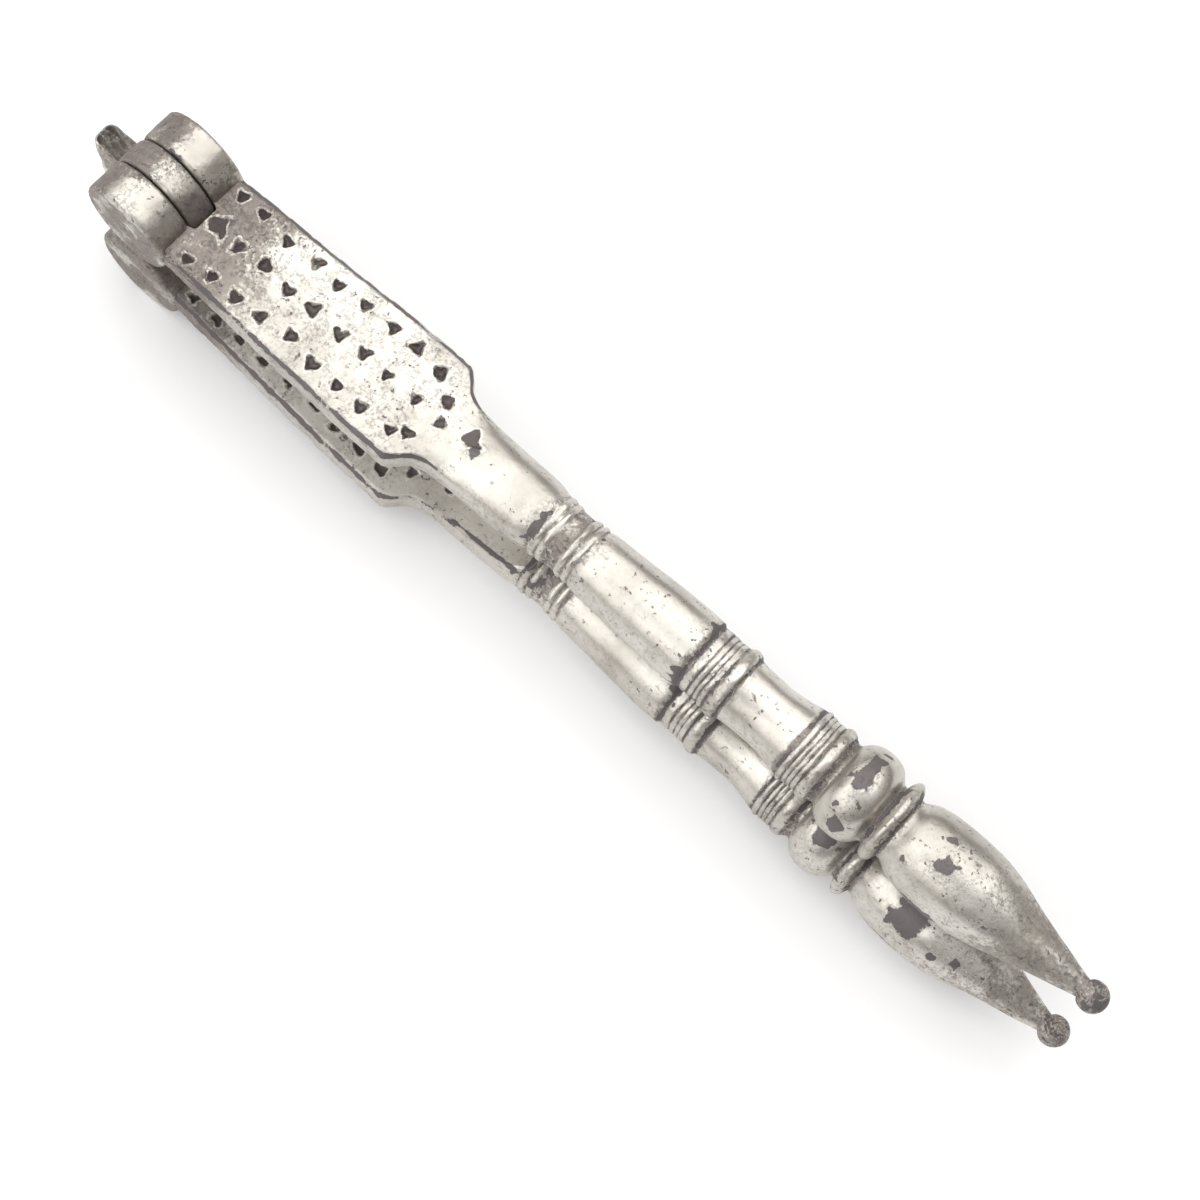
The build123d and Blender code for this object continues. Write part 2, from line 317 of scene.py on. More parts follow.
def press_pits(grid_x, y, z, sizes, seed):
    """Sinks the pits, and the outer face's dents, into a blade by changing its z, and raises a rim
    round each: the depth is (1 - distance)^0.75 times the full depth, and the rim a bell curve of
    the distance just outside the pit's edge. Gives the pit distance."""
    pit = np.full(grid_x.shape, 9.0)
    top = slice(0, TOP_COLUMNS + 1)
    under_first = TOP_COLUMNS + 2 * BEVEL_COLUMNS + SIDE_COLUMNS
    under = slice(under_first, under_first + TOP_COLUMNS + 1)
    depth = sizes.tooth_depth / MM
    for columns, sign, face_seed, is_outer in ((top, -1.0, seed, True), (under, 1.0, seed + 50, False)):
        places, size, turn = pit_places(sizes, face_seed, is_outer)
        flat = np.stack([grid_x[:, columns], y[:, columns], np.zeros_like(y[:, columns])], -1)
        measure = punched(flat[..., 0] + 0.16 * lumps(flat, 1.3, face_seed + 7),
                          flat[..., 1] + 0.16 * lumps(flat, 1.3, face_seed + 8), places, size, turn)
        bowl = np.clip(1.0 - measure, 0.0, 1.0) ** 0.75 * depth
        if is_outer:
            dent = punched(flat[..., 0] + 0.45 * lumps(flat, 2.2, face_seed + 11),
                           flat[..., 1] + 0.45 * lumps(flat, 2.2, face_seed + 12),
                           DENTS[:, :2], DENTS[:, 2], DENTS[:, 3])
            bowl = np.maximum(bowl, np.clip(1.0 - dent, 0.0, 1.0) ** 0.35 * 0.16)
            measure = np.minimum(measure, dent)
        pit[:, columns] = measure
        bell = 0.13 * np.exp(-((measure - 1.16) / 0.15) ** 2)
        rim = bell * (0.6 + 0.6 * lumps(flat, 1.1, face_seed + 9))
        z[:, columns] += sign * (bowl - rim)
    return pit


def arm_surface(sizes, seed, patches):
    """One arm from its slot to its knob as a grid of stations by columns. A station's section is blended
    from a bevelled rectangle (the jaw) to a round cut flat on its inner side (the neck) to a full round
    (the turned handle). patches are old bare places: (along, angle round, half length, half width,
    strength). Gives points (mm, from the hinge's middle), the pit distance, how readily the plating flakes,
    how much brown film and painted shade lies on it (painted shade on the handle's flanks and tail and
    round the lower teardrop's bare places) and where no hand ever polished it."""
    across, up, bevel_y, bevel_z, angle = loop_columns()
    x = stations()
    shoulder = sizes.jaw_length / MM
    axis_z = PIN_HEIGHT - sizes.handle_drop / MM
    inner, outer, bevel = sizes.jaw_inner / MM, sizes.jaw_outer / MM, sizes.jaw_bevel / MM
    hinge_half = sizes.jaw_hinge_width / MM / 2
    shoulder_half = sizes.jaw_shoulder_width / MM / 2

    half = through([(0, hinge_half - 0.15), (shoulder, shoulder_half),
                    (shoulder + 1.1, shoulder_half - 0.75), (shoulder + 2.4, 5.05),
                    (shoulder + 4.0, 4.52), (shoulder + 7.0, 4.3), (50.0, 4.2), (54.0, 4.05),
                    (COLLAR_1[0], 3.66)], x)
    rise = through([(0, outer - axis_z), (shoulder - 2, outer - axis_z), (44.0, 2.55), (48.0, 3.05),
                    (53.0, 3.5), (COLLAR_1[0], 3.6)], x)
    fall = through([(0, axis_z - inner), (shoulder, axis_z - inner), (48.0, 1.7), (53.0, 2.2),
                    (COLLAR_1[0], 3.0), (COLLAR_1[0] + 1.0, 6.0), (KNOB, 6.0)], x)
    grid_x = np.repeat(x[:, None], len(angle), 1)

    # bevelled rectangle
    flat_y = across * half[:, None] + bevel_y * bevel
    above, below = rise[:, None], np.minimum(fall, 3.0)[:, None]
    flat_z = axis_z + (above - below) / 2 + up * (above + below) / 2 + bevel_z * bevel
    # round, cut flat on the inner side
    wobble = 0.10 * np.sin(angle + seed) + 0.05 * np.sin(3 * angle + 2 * seed)
    radius, ridge = handle_radius(grid_x + wobble * smooth(KNOB, KNOB - 8, grid_x))
    turned = smooth(COLLAR_1[0] - 2.5, COLLAR_1[0], x)[:, None]
    wide = half[:, None] * (1 - turned) + radius * turned
    high = rise[:, None] * (1 - turned) + radius * turned
    round_y = wide * np.cos(angle)
    sine = np.sin(angle)
    round_z = np.where(sine > 0, high * sine, wide * sine)
    round_z = axis_z + np.maximum(round_z, -fall[:, None])

    mix = smooth(shoulder - 1.0, shoulder + 9.0, x)[:, None]
    y = flat_y * (1 - mix) + round_y * mix
    z = flat_z * (1 - mix) + round_z * mix

    # the fork's slot: the first stations start further out between the two lugs
    slot_end = KNUCKLE_R + 0.4
    in_slot = np.sqrt(np.clip(1.0 - (y[0] / (SLOT_HALF + 0.06)) ** 12, 0.0, 1.0))
    begin = x[0] + (slot_end - x[0]) * in_slot
    reach = 9.0
    ahead = grid_x < reach
    share = (grid_x - x[0]) / (reach - x[0])
    grid_x = np.where(ahead, begin + (reach - begin) * share, grid_x)

    pit = press_pits(grid_x, y, z, sizes, seed)
    points = np.stack([grid_x, y, z], -1)
    # hand-made unevenness, and small dents along the jaw's edges
    shape_noise = lumps(points, 9.0, seed + 1) * 0.05 + lumps(points, 3.0, seed + 2) * 0.018
    centre = np.stack([grid_x, np.zeros_like(y), np.full_like(z, axis_z)], -1)
    outward = points - centre
    outward /= np.linalg.norm(outward, axis=-1, keepdims=True) + 1e-9
    points = points + outward * shape_noise[..., None]
    edge_column = ((np.abs(bevel_y) > 0) & (np.abs(bevel_z) > 0)).astype(float)
    near_edge = np.maximum(edge_column, np.roll(edge_column, 1))
    near_edge = np.maximum(near_edge, np.roll(edge_column, -1))
    jaw = 1 - smooth(shoulder + 3.0, shoulder + 12.0, x)[:, None]
    notch = np.clip(lumps(points, 1.6, seed + 3), 0, 1) * 0.10 * near_edge * jaw
    points = points - outward * notch[..., None]
    # the collars' ridges are rubbed down unevenly
    rubbed = 0.16 * ridge * np.clip(0.5 + lumps(points, 2.6, seed + 8), 0.0, 1.0)
    points = points - outward * rubbed[..., None]

    # where the plating goes first: bevels, grooves of the collars, the ring, the knob, old patches
    from_edge = half[:, None] - np.abs(across * half[:, None] + bevel_y * bevel)
    edge_wear = np.where(np.abs(up) == 1, smooth(0.75, 0.0, from_edge), 0.30)
    bevel_wear = edge_column * (1.12 + 0.22 * lumps(points, 7.0, seed + 4))
    edge_wear = np.maximum(np.maximum(edge_wear, near_edge) * 0.60, bevel_wear) * jaw
    groove = np.zeros_like(grid_x)
    for first, last, on_crest, between in ((*COLLAR_1, 0.32, 0.74), (*COLLAR_2, 0.40, 0.98),
                                           (*COLLAR_3, 0.40, 1.0)):
        inside = smooth(first - 1.0, first - 0.1, grid_x) * smooth(last + 0.8, last + 0.1, grid_x)
        groove = np.maximum(groove, inside * (between + (on_crest - between) * ridge ** 1.5))
    groove = np.maximum(groove, smooth(0.9, 0.2, np.abs(grid_x - 95.9)) * 0.8)
    at_ring = smooth(1.8, 0.9, np.abs(grid_x - RING))
    groove = np.maximum(groove, at_ring * (0.98 - 0.42 * ridge ** 2))
    groove = np.maximum(groove, smooth(127.2, 128.6, grid_x) * 0.82)
    groove = np.maximum(groove, smooth(11.5, 6.0, grid_x) * 0.5)
    flat_edge = np.abs(round_z - (axis_z - fall[:, None])) < 0.02
    flat_half = np.sqrt(np.clip(wide ** 2 - fall[:, None] ** 2, 0.0, None))
    neck_edge = (smooth(40, 44, grid_x) * smooth(57, 53, grid_x) * flat_edge
                 * smooth(0.9, 0.3, flat_half - np.abs(round_y)))
    wear = np.maximum(np.maximum(edge_wear, groove), 0.85 * neck_edge)
    # brown film round each old bare place: tarnish, and also painted shade where it darkens the lower arm's
    # teardrop
    old_film_and_shade = np.zeros_like(wear)
    uneven = 0.50 * lumps(points, 2.4, seed + 6) + 0.50 * lumps(points, 1.0, seed + 7)
    torn = np.clip(1.0 + uneven, 0.2, 3.0)
    for place, facing, long, wide_mm, strength in patches:
        turn_off = (angle - math.radians(facing) + np.pi) % (2 * np.pi) - np.pi
        off = (((grid_x - place) / long) ** 2 + (radius * turn_off / wide_mm) ** 2) * torn
        wear = np.maximum(wear, strength * np.exp(-off ** 2))
        old_film_and_shade = np.maximum(old_film_and_shade, np.exp(-off / 3))
    # the forging's seam along both flanks
    seam = np.exp(-(radius * np.sin(angle) / 0.24) ** 2) * smooth(45.0, 56.0, grid_x)
    wear = np.maximum(wear, seam * (0.62 + 0.5 * lumps(points, 11.0, seed + 5)))
    # painted shade: the handle's flanks, turned towards +Y and -Y, get more brown film, standing in for the
    # dark reflections there
    dark_flank_reflection = smooth(24.0, 66.0, np.degrees(np.arccos(np.clip(np.abs(np.sin(angle)), 0, 1))))
    # brown film: tarnish round the hinge, in the collars' grooves and round old bare places, and painted
    # shade on the handle's flanks and tail
    film_and_shade = np.maximum.reduce([
        groove * (0.96 - 0.50 * ridge ** 2), old_film_and_shade * 0.45, 0.9 * smooth(24.0, 7.0, grid_x),
        # the second term is painted shade: brown film rising from the ring over the teardrop's tail and the
        # knob, on both arms
        0.30 * smooth(48.0, 36.0, grid_x) + 0.60 * smooth(104.0, 124.0, grid_x),
        0.26 * smooth(36, 44, grid_x) * dark_flank_reflection])
    matte = smooth(57.0, 50.0, grid_x) * (up < 0)
    return points, pit, wear, film_and_shade, matte


OUTLINE_STEP = 0.3


def knuckle_surface(y_start, y_end, seed):
    """Round knuckle with a bore: a rounded rectangle (radius by y) carried round the pin's axis.
    Points are (radius * cos a, y, radius * sin a) from the pin, closed both ways round. Also gives
    the wear, most on the rims, and the brown film, least on the crown that hands polish."""
    low, high = min(y_start, y_end), max(y_start, y_end)
    soft = 0.5
    middles = np.array([(KNUCKLE_R - soft, high - soft), (PIN_R + 0.01, high - 0.02),
                        (PIN_R + 0.01, low + 0.02), (KNUCKLE_R - soft, low + soft)])
    rounding = np.array([soft, 0.02, 0.02, soft])
    bend = np.linspace(0, np.pi / 2, 5) + np.arange(4)[:, None] * np.pi / 2
    arcs = np.stack([np.cos(bend), np.sin(bend)], -1) * rounding[:, None, None]
    outline = (middles[:, None] + arcs).reshape(-1, 2)
    # more points along the flat faces and the rim so that lumps and wear can show
    step = np.roll(outline, -1, 0) - outline
    count = np.maximum(1, (np.hypot(*step.T) / OUTLINE_STEP).astype(int))
    first = np.repeat(np.arange(len(outline)), count)
    share = (np.arange(count.sum()) - np.repeat(np.cumsum(count) - count, count)) / count[first]
    dense = outline[first] + step[first] * share[:, None]
    turn = np.linspace(0, 2 * np.pi, 120, endpoint=False)
    radius, y = (np.broadcast_to(dense[:, k], (len(turn), len(dense))) for k in (0, 1))
    points = np.stack([radius * np.cos(turn)[:, None], y, radius * np.sin(turn)[:, None]], -1)
    rim = smooth(KNUCKLE_R - 0.9, KNUCKLE_R - 0.1, radius) * smooth(0.8, 0.1, np.minimum(y - low, high - y))
    bore = smooth(PIN_R + 0.3, PIN_R + 0.1, radius)
    rough = lumps(points, 5.0, seed) * 0.06 + lumps(points, 1.5, seed + 1) * 0.025
    nick = np.clip(lumps(points, 1.3, seed + 2) - 0.2, 0, 1) * 0.16 * rim
    scale = 1 + (rough * (1 - bore) - nick)[..., None] / np.maximum(radius, 1.0)[..., None]
    points = points * np.array([1.0, 0.0, 1.0]) * scale + points * np.array([0.0, 1.0, 0.0])
    crown = np.exp(-((np.degrees(turn)[:, None] - 68.0) / 26.0) ** 2) * (1 - bore)
    polished = crown * smooth(KNUCKLE_R - 1.0, KNUCKLE_R - 0.4, radius)
    return points, 0.34 + 0.36 * rim, 0.76 + 0.24 * lumps(points, 4.5, seed + 3) - 0.70 * polished


# ---- meshes ------------------------------------------------------------------------------------------

def grid_faces(rows, columns, offset, close_rows=False, flip=False):
    """Quads of a grid whose columns close round on themselves, as an (n, 4) array."""
    last = rows if close_rows else rows - 1
    r, c = np.meshgrid(np.arange(last), np.arange(columns), indexing="ij")
    r2, c2 = (r + 1) % rows, (c + 1) % columns
    quads = np.stack([r * columns + c, r2 * columns + c, r2 * columns + c2, r * columns + c2], -1)
    quads = quads.reshape(-1, 4)
    if flip:
        quads = quads[:, ::-1]
    return quads + offset


def fan(ring, tip, flip=False):
    """Triangles from a closed ring of point numbers to one tip."""
    after = np.roll(ring, -1)
    first, second = (after, ring) if flip else (ring, after)
    return np.stack([first, second, np.full(len(ring), tip)], -1)


def make_piece(name, points_mm, face_blocks, attributes, turn_over=False):
    """Mesh object from millimetre points measured from the hinge's middle. face_blocks are arrays
    of quads or triangles. turn_over gives the same shape turned half round about the X axis, which
    keeps its faces pointing outwards."""
    points = np.asarray(points_mm, float)
    if turn_over:
        points = points * np.array([1.0, -1.0, -1.0])
    points = points * MM + HINGE_MIDDLE
    mesh = bpy.data.meshes.new(name)
    mesh.from_pydata(points.tolist(), [], sum((block.tolist() for block in face_blocks), []))
    for key, values in attributes.items():
        layer = mesh.attributes.new(key, "FLOAT", "POINT")
        layer.data.foreach_set("value", np.asarray(values, np.float32).ravel())
    mesh.polygons.foreach_set("use_smooth", np.ones(len(mesh.polygons), bool))
    mesh.update()
    piece = bpy.data.objects.new(name, mesh)
    bpy.context.scene.collection.objects.link(piece)
    return piece


def arm_piece(name, sizes, seed, patches, turn_over):
    """The blade and its two knuckles as one piece."""
    points, pit, wear, film_and_shade, matte = arm_surface(sizes, seed, patches)
    rows, columns = points.shape[:2]
    turn = Matrix.Rotation(sizes.set_angle, 3, "Z")
    body = points.reshape(-1, 3) @ np.array(turn).T
    parts, faces = [body], [grid_faces(rows, columns, 0)]
    pits, wears, films_and_shade = [pit.ravel()], [wear.ravel()], [film_and_shade.ravel()]
    # the blade's end at the slot is closed between its faces, from one side's middle to the other's
    half_side = BEVEL_COLUMNS + SIDE_COLUMNS // 2
    over = np.arange(-half_side, TOP_COLUMNS + half_side + 1)
    back = (2 * TOP_COLUMNS + 2 * BEVEL_COLUMNS + SIDE_COLUMNS - over) % columns
    over = over % columns
    strip = np.stack([over[:-1], over[1:], back[1:], back[:-1]], -1)
    ends = [strip[1:-1], strip[:1, :3], strip[-1:, [0, 1, 3]]]
    # and its other end by a pole at the knob
    tip = len(body)
    parts.append(body[-columns:].mean(0)[None])
    pits.append([9.0])
    wears.append([0.7])
    films_and_shade.append([0.7])
    ends.append(fan(np.arange(tip - columns, tip), tip)[:, [0, 2, 1]])
    offset = tip + 1
    for side, (a, b) in enumerate(((SLOT_HALF, FORK_HALF), (-FORK_HALF, -SLOT_HALF))):
        knuckle, knuckle_wear, knuckle_film = knuckle_surface(a, b, seed + 10 + side)
        parts.append(knuckle.reshape(-1, 3) + np.array([0, 0, PIN_HEIGHT]))
        faces.append(grid_faces(*knuckle.shape[:2], offset, close_rows=True, flip=True))
        pits.append(np.full(knuckle_wear.size, 9.0))
        wears.append(knuckle_wear.ravel())
        films_and_shade.append(knuckle_film.ravel())
        offset += knuckle_wear.size
    matte = np.concatenate([matte.ravel(), np.zeros(offset - matte.size)])
    return make_piece(name, np.concatenate(parts), faces + ends,
                      {"pit": np.concatenate(pits), "wear": np.concatenate(wears),
                       "film_and_shade": np.concatenate(films_and_shade), "matte": matte}, turn_over)


TAB_HALF = LINK_HALF - 0.15
TAB_TOP = 6.5         # height of the tab and web above the hinge's middle
TAB_SOFT = 0.3        # rounding of its top and bottom
WEB_END = 3.4         # how far the web runs in towards the jaws
NOSE_POWER = 0.62     # below 1 squares the nose


def tab_outline():
    """Outline of the link's stop tab and web in plan, from above: a bar with a squared round nose,
    where each of cos and sin is raised to the nose power."""
    nose = np.linspace(np.pi / 2, 3 * np.pi / 2, 30)
    start = TAB_HALF - TAB_REACH
    nose_x = start - TAB_HALF * np.abs(np.cos(nose)) ** NOSE_POWER
    nose_y = TAB_HALF * np.sign(np.sin(nose)) * np.abs(np.sin(nose)) ** NOSE_POWER
    run = np.linspace(start + 0.4, WEB_END, 22)
    end = np.linspace(-TAB_HALF, TAB_HALF, 8)[1:-1]
    return np.column_stack([
        np.concatenate([nose_x, run, np.full(len(end), WEB_END), run[::-1]]),
        np.concatenate([nose_y, np.full(22, -TAB_HALF), end, np.full(22, TAB_HALF)])])


def link_piece(name, seed):
    """Hinge link: two bored eyes and a rounded bar standing up through both, with the tab's nose.
    The bar is its plan outline stacked in Z, drawn in by a quarter-round at its top and bottom."""
    parts, faces, wears, films_and_shade, offset = [], [], [], [], 0
    for z in (PIN_HEIGHT, -PIN_HEIGHT):
        eye, eye_wear, eye_film = knuckle_surface(-LINK_HALF, LINK_HALF, seed + int(z))
        parts.append(eye.reshape(-1, 3) + np.array([0, 0, z]))
        faces.append(grid_faces(*eye.shape[:2], offset, close_rows=True, flip=True))
        wears.append(eye_wear.ravel())
        films_and_shade.append(eye_film.ravel() + 0.34)
        offset += eye_wear.size
    outline = tab_outline()
    bend = np.linspace(0, np.pi / 2, 5)
    rise = TAB_TOP - TAB_SOFT + TAB_SOFT * np.sin(bend)
    drawn_in = TAB_SOFT * (1 - np.cos(bend))
    heights = np.concatenate([-rise[::-1], np.linspace(-5.8, 5.8, 28), rise])
    inset = np.concatenate([drawn_in[::-1], np.zeros(28), drawn_in])
    inward = outline - np.array([1.0, 0.0]) * np.clip(outline[:, :1], -TAB_REACH + 1.6, 2.0)
    inward /= np.linalg.norm(inward, axis=1, keepdims=True) + 1e-9
    bar = np.empty((len(heights), len(outline), 3))
    bar[..., :2] = outline - inward * inset[:, None, None]
    bar[..., 2] = heights[:, None]
    edge = smooth(5.4, 6.2, np.abs(bar[..., 2]))
    rough = lumps(bar, 4.0, seed + 5) * 0.06 + lumps(bar, 1.4, seed + 6) * 0.03
    bar[..., 1] += rough * np.sign(bar[..., 1]) * 0.8
    bar[..., 0] += np.where(bar[..., 0] < -6, -rough, 0.0)
    poles = np.array([[-WEB_END, 0, heights[0]], [-WEB_END, 0, heights[-1]]])
    parts += [bar.reshape(-1, 3), poles]
    wears += [(0.30 + 0.32 * edge).ravel(), [0.5, 0.5]]
    films_and_shade.append(np.full(edge.size + 2, 0.66))
    low = offset + edge.size
    first = np.arange(offset, offset + len(outline))
    faces += [grid_faces(*edge.shape, offset, flip=True), fan(first, low),
              fan(first + edge.size - len(outline), low + 1, flip=True)]
    wear = np.concatenate(wears)
    return make_piece(name, np.concatenate(parts), faces,
                      {"pit": np.full(len(wear), 9.0), "wear": wear, "film_and_shade": np.concatenate(films_and_shade)})


PIN_COLUMNS = 64


def pin_piece(name, height):
    """Hinge pin: a rod with flat ends, its profile (radius by y) carried round its axis."""
    end = np.array([(0.6, FORK_HALF), (1.15, FORK_HALF), (PIN_R - 0.03, FORK_HALF),
                    (PIN_R, FORK_HALF - 0.03)])
    middle = np.linspace(FORK_HALF - 0.8, -FORK_HALF + 0.8, 20)
    profile = np.concatenate([end, np.column_stack([np.full(20, PIN_R), middle]), end[::-1] * (1, -1)])
    turn = np.linspace(0, 2 * np.pi, PIN_COLUMNS, endpoint=False)
    points = np.stack([profile[:, :1] * np.cos(turn), np.repeat(profile[:, 1:], PIN_COLUMNS, 1),
                       profile[:, :1] * np.sin(turn)], -1) + np.array([0, 0, height])
    poles = np.array([[0, FORK_HALF, height], [0, -FORK_HALF, height]])
    rows, ring = len(profile), np.arange(PIN_COLUMNS)
    low = rows * PIN_COLUMNS
    faces = [grid_faces(rows, PIN_COLUMNS, 0, flip=True), fan(ring, low, flip=True),
             fan(ring + low - PIN_COLUMNS, low + 1)]
    total = low + 2
    return make_piece(name, np.concatenate([points.reshape(-1, 3), poles]), faces,
                      {"pit": np.full(total, 9.0), "wear": np.full(total, 0.55),
                       "film_and_shade": np.full(total, 0.85)})


# ---- materials ---------------------------------------------------------------------------------------

def socket(group, name, kind, direction, default=None):
    """Adds one socket to a node group."""
    item = group.interface.new_socket(name=name, in_out=direction, socket_type=kind)
    if default is not None:
        item.default_value = default


class Nodes:
    """Short names for adding and joining nodes in a tree."""

    def __init__(self, tree):
        self.tree = tree

    def add(self, kind, **settings):
        node = self.tree.nodes.new(kind)
        for key, value in settings.items():
            setattr(node, key, value)
        return node

    def join(self, source, target):
        self.tree.links.new(source, target)

    def value(self, target, source):
        if isinstance(source, (int, float, tuple)):
            target.default_value = source
        else:
            self.join(source, target)

    def math(self, operation, a, b=0.0, c=0.0, clamp=False):
        node = self.add("ShaderNodeMath", operation=operation, use_clamp=clamp)
        for target, source in zip(node.inputs, (a, b, c)):
            self.value(target, source)
        return node.outputs[0]

    def times(self, a, b):
        return self.math("MULTIPLY", a, b)

    def plus(self, a, b, clamp=False):
        return self.math("ADD", a, b, clamp=clamp)

    def noise(self, vector, scale, detail=4.0, roughness=0.5, distortion=0.0):
        node = self.add("ShaderNodeTexNoise")
        self.join(vector, node.inputs["Vector"])
        for key, setting in (("Scale", scale), ("Detail", detail), ("Roughness", roughness),
                             ("Distortion", distortion)):
            node.inputs[key].default_value = setting
        return node.outputs["Fac"]

    def stretch(self, vector, scale, rotation=(0.0, 0.0, 0.0)):
        node = self.add("ShaderNodeMapping")
        self.join(vector, node.inputs["Vector"])
        node.inputs["Scale"].default_value = scale
        node.inputs["Rotation"].default_value = rotation
        return node.outputs["Vector"]

    def step(self, source, low, high):
        node = self.add("ShaderNodeMapRange", interpolation_type="SMOOTHSTEP", clamp=True)
        self.value(node.inputs["Value"], source)
        self.value(node.inputs["From Min"], low)
        self.value(node.inputs["From Max"], high)
        return node.outputs["Result"]

    def blend(self, factor, a, b):
        node = self.add("ShaderNodeMix", data_type="RGBA")
        self.value(node.inputs["Factor"], factor)
        self.value(node.inputs["A"], a)
        self.value(node.inputs["B"], b)
        return node.outputs["Result"]

    def bright(self, source, factor):
        node = self.add("ShaderNodeMix", data_type="RGBA", blend_type="MULTIPLY")
        node.inputs["Factor"].default_value = 1.0
        self.join(source, node.inputs["A"])
        node.inputs["B"].default_value = (factor, factor, factor, 1.0)
        return node.outputs["Result"]


def flaked_plating_group():
    """Group: plating that has flaked to steel where wear and noise together pass a threshold, with painted
    highlights on the pits' rims and the flakes' edges and painted shade in the pits' hollows. Wear, Pit,
    Film and Matte come from the piece's attributes; Film carries the brown film and the painted shade of
    the handle's flanks and tail."""
    group = bpy.data.node_groups.new("flaked_plating", "ShaderNodeTree")
    socket(group, "Wear", "NodeSocketFloat", "INPUT", 0.0)
    socket(group, "Pit", "NodeSocketFloat", "INPUT", 9.0)
    socket(group, "Amount", "NodeSocketFloat", "INPUT", 0.5)
    socket(group, "Film_And_Shade", "NodeSocketFloat", "INPUT", 0.1)
    socket(group, "Matte", "NodeSocketFloat", "INPUT", 0.0)
    for name in ("Plating", "Dull", "Steel", "Tarnish"):
        socket(group, name, "NodeSocketColor", "INPUT", (0.5, 0.5, 0.5, 1.0))
    for name, kind in (("Color", "NodeSocketColor"), ("Roughness", "NodeSocketFloat"),
                       ("Metallic", "NodeSocketFloat"), ("Height", "NodeSocketFloat")):
        socket(group, name, kind, "OUTPUT")
    n = Nodes(group)
    given = n.add("NodeGroupInput").outputs
    end = n.add("NodeGroupOutput")
    place = n.add("ShaderNodeTexCoord").outputs["Object"]

    broad = n.noise(place, 210.0, 3.0, 0.55)
    ragged = n.noise(place, 620.0, 9.0, 0.72, 0.35)
    crumbs = n.noise(place, 3200.0, 3.0, 0.6)
    uneven = n.plus(n.times(n.math("SUBTRACT", ragged, 0.5), 1.45),
                    n.times(n.math("SUBTRACT", broad, 0.5), 0.9))
    push = n.plus(n.times(given["Wear"], 0.92), uneven)
    push = n.plus(push, n.times(n.math("SUBTRACT", crumbs, 0.5), 0.22))
    push = n.plus(push, n.times(given["Amount"], 0.5))
    flaked = n.step(push, 0.78, 0.83)
    shade = n.step(push, 0.55, 0.85)

    dots = n.noise(place, 1500.0, 4.0, 0.62, 0.2)
    dots = n.plus(dots, n.times(given["Film_And_Shade"], 0.05))
    gathered = n.step(n.noise(place, 260.0, 3.0, 0.6), 0.42, 0.58)
    specks = n.times(n.step(dots, 0.625, 0.655), gathered)
    grain = n.noise(place, 5200.0, 2.0, 0.6)
    lines_a = n.noise(n.stretch(place, (190.0, 3600.0, 3600.0), (0.0, 0.0, 0.62)), 1.0, 3.0, 0.6, 0.6)
    lines_b = n.noise(n.stretch(place, (3000.0, 240.0, 2400.0), (0.3, 0.2, -0.95)), 1.0, 3.0, 0.6, 0.6)
    scratch = n.math("MAXIMUM", n.step(lines_a, 0.62, 0.72), n.step(lines_b, 0.64, 0.73))
    scratch = n.times(scratch, n.step(n.noise(place, 330.0, 3.0, 0.6), 0.46, 0.62))

    inside = n.step(given["Pit"], 1.0, 0.82)
    # the ring just outside each pit: a painted highlight in colour and a raised rim in the bump
    pit_rim_highlight = n.math("SUBTRACT", n.step(given["Pit"], 1.38, 1.22), inside, clamp=True)
    # painted shade: the deeper part of each pit's hollow, with a ragged edge, is darkened below
    depth = n.plus(n.times(given["Pit"], -0.35), ragged)
    pit_shade = n.times(inside, n.step(depth, 0.16, 0.24))

    film_and_shade = n.plus(n.times(n.noise(place, 190.0, 7.0, 0.72), 0.62),
                  n.times(n.noise(place, 1700.0, 4.0, 0.65), 0.38))
    film_and_shade = n.plus(film_and_shade, n.times(given["Film_And_Shade"], 0.36))
    film_and_shade = n.times(n.step(film_and_shade, 0.65, 0.76), 0.80)
    grit = n.noise(place, 2700.0, 5.0, 0.78)
    held = n.step(n.noise(place, 420.0, 4.0, 0.6), 0.34, 0.56)
    held = n.times(n.step(given["Film_And_Shade"], -0.15, 0.60), held)
    grit = n.times(n.step(grit, 0.50, 0.59), held)
    film_and_shade = n.math("MAXIMUM", film_and_shade, n.times(shade, 0.30))
    base = n.step(n.noise(place, 95.0, 5.0, 0.6), 0.30, 0.75)
    base = n.blend(base, given["Plating"], given["Dull"])
    base = n.blend(0.75, given["Plating"], base)
    stain = n.blend(n.step(given["Film_And_Shade"], 0.5, 0.8), given["Dull"], given["Tarnish"])
    mottle = n.step(n.noise(place, 1150.0, 6.0, 0.72), 0.44, 0.60)
    stain = n.blend(n.times(mottle, 0.42), stain, given["Dull"])
    # brown film over the plating: tarnish, and painted shade where it comes from the handle's flanks and
    # tail
    base = n.blend(film_and_shade, base, stain)
    base = n.blend(n.times(scratch, 0.7), base, given["Dull"])
    # a thin band round each flaked place: a painted highlight in colour and a raised lip in the bump
    flake_lip_highlight = n.math("SUBTRACT", n.step(push, 0.73, 0.77), flaked, clamp=True)
    base = n.blend(n.times(grit, 0.66), base, given["Steel"])
    # painted highlight: the pits' rims and the flakes' edges take a brighter plating colour
    base = n.blend(n.times(n.math("MAXIMUM", pit_rim_highlight, flake_lip_highlight), n.step(crumbs, 0.30, 0.75)), base,
                   n.bright(given["Plating"], 1.25))
    steel = n.blend(n.step(crumbs, 0.35, 0.7), given["Steel"], given["Tarnish"])
    steel = n.blend(n.step(grain, 0.35, 0.65), given["Steel"], steel)
    # bare steel colour where the plating has flaked and at dark specks, and also over the painted shade in
    # the pits
    bare = n.math("MAXIMUM", flaked, n.math("MAXIMUM", n.times(pit_shade, 0.86), specks))
    colour_out = n.blend(bare, base, steel)
